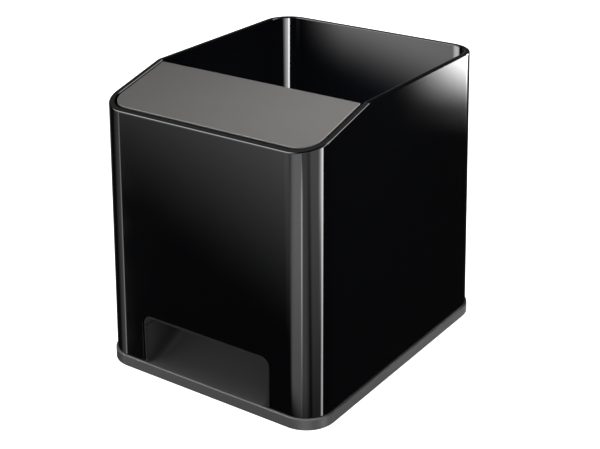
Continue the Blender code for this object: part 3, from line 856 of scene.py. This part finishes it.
def horn_section(share, upper):
    """Channel section at one ring, as (x, height above the ramp) points of its lower or upper part."""
    half = horn_half_width(share)
    seam = seam_height(share)
    if upper:
        round_foot = seam + SEAM_DROP
        left = quarter(-half + MOUTH_RADIUS, round_foot, MOUTH_RADIUS, 1)
        right = quarter(half - MOUTH_RADIUS, round_foot, MOUTH_RADIUS, 0)
        return [(half, seam + GAP)] + right + left + [(-half, seam + GAP)]
    growth = min(share / FILLET_GROWTH_SHARE, 1)
    fillet = LIP_FILLET + (RAMP_FILLET - LIP_FILLET) * growth
    left = quarter(-half + fillet, fillet, fillet, 2)
    right = quarter(half - fillet, fillet, fillet, 3)
    return [(-half, seam)] + left + right + [(half, seam)]


def horn_half(name, upper):
    """Half of the channel: a surface lofted through its rings, with its wall thickness put on the outside."""
    bm = bmesh.new()
    rings = []
    for ring in range(HORN_RINGS + 1):
        share = ring / HORN_RINGS
        foot = ramp_point(share)
        rise = (ceiling_point(share) - foot).normalized()
        places = [(x, foot + rise * height) for x, height in horn_section(share, upper)]
        rings.append([bm.verts.new((x, place.x, place.y)) for x, place in places])
    for near, far in zip(rings, rings[1:]):
        for column in range(len(near) - 1):
            bm.faces.new((near[column], near[column + 1], far[column + 1], far[column]))
    bm.normal_update()
    foot, head = ramp_point(HALFWAY), ceiling_point(HALFWAY)
    middle = Vector((0, foot.x, (foot.y + head.y) / 2))
    outward = [face.normal.dot(face.calc_center_median() - middle) * face.calc_area() for face in bm.faces]
    if sum(outward) < 0:
        bmesh.ops.reverse_faces(bm, faces=bm.faces)
    piece = add_object(name, bm, keep_normals=True)
    wall = piece.modifiers.new("wall", "SOLIDIFY")
    wall.thickness = HORN_WALL
    wall.offset = 1.0
    wall.use_even_offset = True
    settle(piece)
    round_edges(piece, HORN_EDGE_RADIUS, SMALL_EDGE_STEPS)
    return piece


def horn_rib_outline():
    """Web under the reflector, from the base plate up into the reflector's wall."""
    lip_y = ramp_point(0).x
    start, end = lip_y + HORN_RIB_START, THROAT_REAR - HORN_RIB_END
    outline = [(start, FOOT), (end, FOOT)]
    for step in range(HORN_RINGS, -1, -1):
        share = (start + (end - start) * step / HORN_RINGS - lip_y) / (THROAT_REAR - lip_y)
        place = ramp_point(share)
        outline.append((place.x, place.y - HORN_WALL / 2))
    return outline


def make_horn_ramp(material):
    ramp = horn_half("ramp", upper=False)
    for side in (-1, 1):
        join(ramp, prism(horn_rib_outline(), side * HORN_RIB_SPREAD, HORN_RIB_THICKNESS))
    for x, y in map(box_middle, HORN_SCREWS):
        join(ramp, cylinder(x, y, FOOT, FOOT + HORN_BOSS_HEIGHT, BOSS_RADIUS))
        cut(ramp, cylinder(x, y, FOOT - OVERRUN, PILOT_TOP, PILOT_RADIUS))
    finish_shading(ramp)
    dress(ramp, "horn_ramp", material)


def make_horn_hood(material):
    hood = horn_half("hood", upper=True)
    front, rear = seam_point(CLIP_FRONT_SHARE), seam_point(CLIP_REAR_SHARE)
    y = (front.x, rear.x)
    bridge_foot = rear.y + 2 * GAP
    inner = MOUTH_HALF + HORN_WALL + GAP
    outer = inner + CLIP_THICKNESS
    for side in (-1, 1):
        tongue_x = sorted((side * inner, side * outer))
        bridge_x = sorted((side * (MOUTH_HALF + HORN_WALL / 2), side * outer))
        clip = add_object("clip", block(bridge_x, y, (bridge_foot, bridge_foot + CLIP_THICKNESS)))
        join(clip, block(tongue_x, y, (front.y - CLIP_DROP, bridge_foot + BITE)))
        round_edges(clip, HORN_EDGE_RADIUS, TINY_EDGE_STEPS)
        join(hood, take_mesh(clip))
    finish_shading(hood)
    dress(hood, "horn_hood", material)


# Base plate and its rubber feet

def locating_tongue():
    """Ring that stands inside the sleeve, open for the horn, the divider and the bosses."""
    above = (BASE_TOP - OVERRUN, TONGUE_TOP + OVERRUN)
    tongue = add_object("tongue", drafted_block(BASE_TOP - BITE, TONGUE_TOP, WALL + GAP))
    cut(tongue, drafted_block(*above, WALL + GAP + TONGUE_THICKNESS))
    horn_space = MOUTH_HALF + HORN_WALL + 2 * GAP + CLIP_THICKNESS
    cut(tongue, block((-horn_space, horn_space), (-2 * TOP_HALF_DEPTH, 0), above))
    cut(tongue, block(WIDE, (DIVIDER_FRONT - GAP, DIVIDER_REAR + GAP), above))
    for x, y in map(box_middle, SLEEVE_SCREWS):
        cut(tongue, cylinder(x, y, *above, BOSS_RADIUS + GAP))
    return take_mesh(tongue)


def add_foot_sockets(base):
    """Puts a short ring round each foot under the plate's floor."""
    for node in FEET:
        low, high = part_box(node)
        x, y = box_middle(node)
        inner = (high[0] - low[0]) / 2 + GAP
        ring = cylinder(x, y, BASE_FOOT + SOCKET_SHORT, FLOOR_UNDER + BITE, inner + SOCKET_WALL)
        socket = add_object("socket", ring)
        cut(socket, cylinder(x, y, BASE_FOOT - OVERRUN, FLOOR_UNDER, inner))
        join(base, take_mesh(socket))


def make_base(material):
    base = add_object("base", drafted_block(BASE_FOOT, BASE_TOP, -BAND_PROUD))
    cut(base, drafted_block(BASE_FOOT - OVERRUN, FLOOR_UNDER, BASE_BORDER))
    round_edges(base, BAND_EDGE_RADIUS)
    join(base, locating_tongue())
    seat_x = MOUTH_HALF + HORN_WALL + GAP
    seat_y = (ramp_point(0).x - GAP, ramp_point(0).x + HORN_RIB_START - GAP)
    cut(base, block((-seat_x, seat_x), seat_y, (LIP_Z - HORN_WALL - GAP, BASE_TOP + OVERRUN)))
    add_foot_sockets(base)
    for x, y in map(box_middle, SLEEVE_SCREWS + HORN_SCREWS):
        cut(base, cylinder(x, y, BASE_FOOT - OVERRUN, BASE_TOP + OVERRUN, PILOT_RADIUS))
    finish_shading(base)
    dress(base, "base_plate", material)


def foot_profile(radius, height):
    """Half outline of a disc with rounded edges and a shallow dished sole."""
    flat = radius - FOOT_EDGE_RADIUS
    profile = [(0, height), (flat, height)]
    profile += arc(flat, height - FOOT_EDGE_RADIUS, FOOT_EDGE_RADIUS, 90, 0)
    profile += arc(flat, FOOT_EDGE_RADIUS, FOOT_EDGE_RADIUS, 0, -90)
    profile.append((radius * FOOT_FLAT_SHARE, 0))
    profile += [(radius * share, FOOT_DISH * (1 - share ** 2)) for share in FOOT_DISH_SHARES]
    profile.append((0, FOOT_DISH))
    return profile


def make_feet(material):
    for node in FEET:
        low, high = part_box(node)
        profile = foot_profile((high[0] - low[0]) / 2, high[2] - low[2])
        foot = add_object(f"rubber_{node}", turned(profile))
        foot.location = (*box_middle(node), low[2])
        smooth(foot, TURNED_SHARP_DEGREES)
        dress(foot, node, material)


# Screws

def thread_radius(turn, height):
    """Radius of the threaded shank at a turn and a height: a narrow ridge on a core, pointed at the end."""
    phase = (height / THREAD_PITCH - turn) % 1.0
    ridge = max(0.0, 1.0 - abs(phase - HALFWAY) / THREAD_SHARE)
    core = SCREW_RADIUS - THREAD_DEPTH
    near_end = min(1.0, (SCREW_LENGTH - height) / SCREW_RADIUS)
    fade = min(1.0, max(0.0, height / THREAD_PITCH))
    return (core + THREAD_DEPTH * ridge * fade) * (POINT_SHARE + (1 - POINT_SHARE) * near_end)


def screw_form():
    """Threaded shank and pan head as one skin, along Z, with the head's underside just below the origin."""
    head = [(HEAD_RADIUS, -GAP), (HEAD_RADIUS, -GAP - HEAD_HEIGHT / 2)]
    head += arc(HEAD_RADIUS - HEAD_HEIGHT / 2, -GAP - HEAD_HEIGHT / 2, HEAD_HEIGHT / 2, 0, -90)
    rings = []
    heights = [SCREW_LENGTH * step / THREAD_RINGS for step in range(THREAD_RINGS + 1)]
    for height in heights[::-1]:
        rings.append([(thread_radius(step / THREAD_STEPS, height), height) for step in range(THREAD_STEPS)])
    rings.append([(SCREW_RADIUS - THREAD_DEPTH, -GAP)] * THREAD_STEPS)
    rings += [[place] * THREAD_STEPS for place in head]
    return skin(rings)


def recess_bar(degrees):
    """One bar of the cross recess in the head, smaller at its floor."""
    face = -GAP - HEAD_HEIGHT
    length, width = (-RECESS_LENGTH / 2, RECESS_LENGTH / 2), (-RECESS_WIDTH / 2, RECESS_WIDTH / 2)
    bar = block(length, width, (face - SMALL_OVERRUN, face + RECESS_DEPTH))
    for vert in bar.verts:
        if vert.co.z > face:
            vert.co.x *= RECESS_FLOOR_LENGTH_SHARE
            vert.co.y *= RECESS_FLOOR_WIDTH_SHARE
    turn = Matrix.Rotation(math.radians(degrees), 3, "Z")
    bmesh.ops.rotate(bar, cent=(0, 0, 0), matrix=turn, verts=bar.verts)
    return bar


def make_screws(material):
    """One screw, copied to the six places."""
    screw = add_object("screw", screw_form())
    cut(screw, recess_bar(0), recess_bar(90))
    smooth(screw, TURNED_SHARP_DEGREES)
    for node in SLEEVE_SCREWS + HORN_SCREWS:
        copy = bpy.data.objects.new(f"steel_{node}", screw.data.copy())
        bpy.context.scene.collection.objects.link(copy)
        copy.location = (*box_middle(node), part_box(node)[1][2] - SCREW_LENGTH)
        dress(copy, node, material)
    bpy.data.objects.remove(screw, do_unlink=True)


# Camera, light and floor

CAMERA_PLACE = Vector((0.2313, -0.3275, 0.2220))
CAMERA_AZIMUTH = math.radians(35.047)
CAMERA_ELEVATION = math.radians(24.147)
CAMERA_ROLL = math.radians(-0.382)
CAMERA_LENS = 75.315
CAMERA_SENSOR = 36.0

# White surroundings: their strengths as plain light, and what the camera sees more of them
FLOOR_SIZE = 6.0
FLOOR_WHITE = (0.9, 0.9, 0.9)
FLOOR_STRENGTH = 0.5
FLOOR_CAMERA_EXTRA = 0.7
WORLD_STRENGTH = 0.6
WORLD_CAMERA_EXTRA = 0.6

# Lights that no surface mirrors: place, aim, size, power and spread in degrees
KEY_LIGHT = ((0.110, -0.010, 0.200), (0.020, -0.035, 0.090), (0.08, 0.08), 0.05, 60)
WELL_FILL = ((0.016, 0.000, 0.070), (-0.010, 0.052, 0.070), (0.050, 0.040), 0.115, 180)

# Upright cards of light in the well: ends, heights, spread in degrees, strength at both ends, share of the
# way over which the card starts, and the heights at both ends from which it brightens upwards, with the rise
# that this takes
AT_ONCE = (-1, -0.9)
ALL_BRIGHT = (-1, -1, 1)
WELL_CARDS = {
    "well_sweep": (
        ((-0.039, 0.039), (0.012, -0.005)), (0.040, 0.098), 80, (1.03, 0.94),
        (-0.02, 0.27), (0.0735, 0.0365, 0.037),
    ),
    "well_left_strip": (
        ((-0.03157, 0.03956), (-0.02848, 0.04196)), (0.030, 0.098), 80, (3.9, 0.4), AT_ONCE, ALL_BRIGHT,
    ),
    "well_left_line": (
        ((-0.03157, 0.03956), (-0.03092, 0.04006)), (0.030, 0.098), 80, (3.3, 3.3), AT_ONCE, ALL_BRIGHT,
    ),
    "well_right_strip": (
        ((0.0236, 0.0462), (0.0276, 0.0393)), (0.060, 0.098), 60, (1.7, 1.7), AT_ONCE, ALL_BRIGHT,
    ),
}

# Soft panels of light in a dark room, which only mirroring surfaces see. For each panel, in degrees: the
# azimuths between which it rises and falls, their lean with elevation, the elevations between which it rises
# and falls, their tilt with azimuth, and its strength
MIRRORED_DARK = 0.013
LEAN_ELEVATION = -30
TILT_AZIMUTH = -131
TILT_END_AZIMUTH = -124
PANELS = {
    "front_sweep": ((-160, -140, -110, -98), 0, (-22.9, -6.9, 10, 20), 0.72, 2.0),
    "corner_strip": ((-116, -103, -74, -70), 0.85, (-30.3, -28.5, 0, 20), 0, 1.4),
    "corner_strip_above": ((-118, -92, -74, -70), 0.85, (-30, -19, 0, 20), 0, 1.2),
    "corner_line": ((-75, -73.5, -70, -68), 0.85, (-31, -21.5, -20, -17), 0, 5.5),
    "corner_shade": ((-71, -68, -60, -38), 0.85, (-31, -27.5, 0, 20), 0, 0.95),
    "side_sweep": ((-40, -28, -6, 4), 0, (-34, -16, 0, 20), 0, 1.4),
    "side_strip": ((-4, 3.5, 5.8, 7.2), 0.75, (-50, -22, 0, 20), 0, 9.6),
    "side_strip_soft": ((-12, 0, 3, 7.2), 0.75, (-27, -19, 0, 20), 0, 5.2),
    "side_strip_top": ((-16, -4, -4, 5), 0.75, (-22.5, -19, 0, 20), 0, 2.8),
    "low_corner": ((-78, -64, -42, -28), 0, (-62, -52, -37, -32), 0, 5.0),
    "rear_glow": ((58.9, 64.8, 63, 82), 0, (-17.75, -10.6, 0, 20), 0, 83.0),
    "rear_tail": ((59, 65.5, 63, 82), 0, (-18.9, -16.5, 0, 20), 0, 1.4),
    "left_strip": ((-142, -134.9, -134.6, -133.6), 0, (-45, -27, -22, -10), 0, 2.3),
    "left_ramp": ((-172, -134.9, -134.6, -133.6), 0, (-45, -30, -20, -8), 0, 0.7),
    "high_back": ((100, 125, 155, 180), 0, (30, 42, 60, 75), 0, 0.25),
    "high_side": ((-30, -15, 9, 17), 0.6, (5, 18, 64, 72), 0, 6.5),
    "high_front": ((-179, -165, -115, -95), 0, (22, 32, 54, 68), 0, 9.4),
    "back_sweep": ((100, 115, 150, 170), 0, (-30, -10, 0, 20), 0, 0.6),
}


def add_camera():
    data = bpy.data.cameras.new("photo_camera")
    data.lens = CAMERA_LENS
    data.sensor_width = CAMERA_SENSOR
    camera = bpy.data.objects.new("photo_camera", data)
    turn = Matrix.Rotation(CAMERA_AZIMUTH, 4, "Z") @ Matrix.Rotation(math.pi / 2 - CAMERA_ELEVATION, 4, "X")
    camera.matrix_world = Matrix.Translation(CAMERA_PLACE) @ turn @ Matrix.Rotation(CAMERA_ROLL, 4, "Z")
    bpy.context.scene.collection.objects.link(camera)
    bpy.context.scene.camera = camera


def add_floor():
    bm = bmesh.new()
    bmesh.ops.create_grid(bm, x_segments=1, y_segments=1, size=FLOOR_SIZE)
    floor = add_object("floor", bm)
    material, tree, shader = start_material("floor_white", FLOOR_WHITE, roughness=0.8)
    shader.inputs["Specular IOR Level"].default_value = 0.1
    shader.inputs["Emission Color"].default_value = (1.0, 1.0, 1.0, 1.0)
    seen = tree.nodes.new("ShaderNodeLightPath").outputs["Is Camera Ray"]
    strength = calculate(tree, "MULTIPLY_ADD", seen, FLOOR_CAMERA_EXTRA, FLOOR_STRENGTH)
    tree.links.new(strength, shader.inputs["Emission Strength"])
    floor.data.materials.append(material)
    floor.visible_glossy = False


def add_area_light(name, size, power, spread):
    """Rectangular light that the camera doesn't see."""
    data = bpy.data.lights.new(name, "AREA")
    data.shape = "RECTANGLE"
    data.size, data.size_y = size
    data.energy = power
    data.spread = math.radians(spread)
    light = bpy.data.objects.new(name, data)
    light.visible_camera = False
    bpy.context.scene.collection.objects.link(light)
    return light


def add_light(name, place, aim, size, power, spread):
    """Light that no surface mirrors."""
    light = add_area_light(name, size, power, spread)
    light.location = place
    light.rotation_euler = (Vector(aim) - Vector(place)).to_track_quat("-Z", "Y").to_euler()
    light.visible_glossy = False


def shape_card(tree, heights, across, fade, ramp):
    """Strength of a card over its width and height."""
    bottom, top = heights
    place = tree.nodes.new("ShaderNodeSeparateXYZ")
    tree.links.new(tree.nodes.new("ShaderNodeNewGeometry").outputs["Parametric"], place.inputs["Vector"])
    along, up = place.outputs["X"], place.outputs["Y"]
    height = calculate(tree, "MULTIPLY_ADD", up, top - bottom, bottom)
    start = calculate(tree, "MULTIPLY_ADD", along, ramp[1] - ramp[0], ramp[0])
    share = soft_step(tree, calculate(tree, "SUBTRACT", height, start), 0.0, ramp[2])
    strength = calculate(tree, "MULTIPLY_ADD", along, across[1] - across[0], across[0])
    for factor in (share, share, soft_step(tree, along, *fade)):
        strength = calculate(tree, "MULTIPLY", strength, factor)
    tree.links.new(strength, tree.nodes["Emission"].inputs["Strength"])


def add_well_card(name, ends, heights, spread, across, fade, ramp):
    """Upright card of light that only mirroring walls show.

    It faces to the left of its way from the first end to the second, and its power follows its area.
    """
    (x0, y0), (x1, y1) = ends
    bottom, top = heights
    length = math.hypot(x1 - x0, y1 - y0)
    light = add_area_light(name, (length, top - bottom), math.pi * length * (top - bottom), spread)
    light.data.use_nodes = True
    shape_card(light.data.node_tree, heights, across, fade, ramp)
    facing = Vector((y0 - y1, x1 - x0, 0)) / length
    way = Vector((x1 - x0, y1 - y0, 0)) / length
    light.matrix_world = Matrix((
        (way.x, 0, -facing.x, (x0 + x1) / 2),
        (way.y, 0, -facing.y, (y0 + y1) / 2),
        (0, 1, 0, (bottom + top) / 2),
        (0, 0, 0, 1),
    ))
    light.visible_diffuse = False


def add_panel(tree, azimuth, elevation, total, around, lean, up, tilt, strength):
    """Adds one soft panel to the total of mirrored light."""
    across, above = azimuth, elevation
    if lean:
        risen = calculate(tree, "ADD", elevation, -LEAN_ELEVATION)
        across = calculate(tree, "MULTIPLY_ADD", risen, -lean, azimuth)
    if tilt:
        turned_by = calculate(tree, "MINIMUM", azimuth, TILT_END_AZIMUTH)
        above = calculate(tree, "MULTIPLY_ADD", turned_by, tilt, elevation)
        above = calculate(tree, "ADD", above, -TILT_AZIMUTH * tilt)
    panel = strength
    for value, edges in ((across, around), (above, up)):
        panel = calculate(tree, "MULTIPLY", panel, soft_step(tree, value, edges[0], edges[1]))
        panel = calculate(tree, "MULTIPLY", panel, soft_step(tree, value, edges[3], edges[2]))
    return calculate(tree, "ADD", panel, total)


def add_world():
    """White surroundings, in which glossy rays see soft panels of light in the dark."""
    world = bpy.data.worlds.new("studio")
    world.use_nodes = True
    tree = world.node_tree
    direction = tree.nodes.new("ShaderNodeSeparateXYZ")
    coordinates = tree.nodes.new("ShaderNodeTexCoord")
    tree.links.new(coordinates.outputs["Generated"], direction.inputs["Vector"])
    azimuth = calculate(tree, "ARCTAN2", direction.outputs["Y"], direction.outputs["X"])
    azimuth = calculate(tree, "DEGREES", azimuth)
    elevation = calculate(tree, "DEGREES", calculate(tree, "ARCSINE", direction.outputs["Z"]))
    total = MIRRORED_DARK
    for panel in PANELS.values():
        total = add_panel(tree, azimuth, elevation, total, *panel)
    path = tree.nodes.new("ShaderNodeLightPath")
    plain = calculate(
        tree, "MULTIPLY_ADD", path.outputs["Is Camera Ray"], WORLD_CAMERA_EXTRA, WORLD_STRENGTH
    )
    strength = tree.nodes.new("ShaderNodeMix")
    tree.links.new(path.outputs["Is Glossy Ray"], strength.inputs["Factor"])
    tree.links.new(plain, strength.inputs["A"])
    tree.links.new(total, strength.inputs["B"])
    background = tree.nodes["Background"]
    tree.links.new(strength.outputs["Result"], background.inputs["Strength"])
    background.inputs["Color"].default_value = (1.0, 1.0, 1.0, 1.0)
    bpy.context.scene.world = world


def set_view():
    """Plain colours, without a film look."""
    scene = bpy.context.scene
    scene.view_settings.view_transform = "Standard"
    scene.view_settings.look = "None"


add_camera()
add_floor()
add_world()
set_view()
add_light("key", *KEY_LIGHT)
for name, card in WELL_CARDS.items():
    add_well_card(name, *card)
add_light("well_fill", *WELL_FILL)

horn_plastic = horn_material()
make_sleeve(gloss_plastic())
make_lid(lid_material())
make_pocket(pocket_material())
make_pad(foam_material())
make_horn_ramp(horn_plastic)
make_horn_hood(horn_plastic)
make_base(base_material())
make_feet(rubber_material())
make_screws(steel_material())
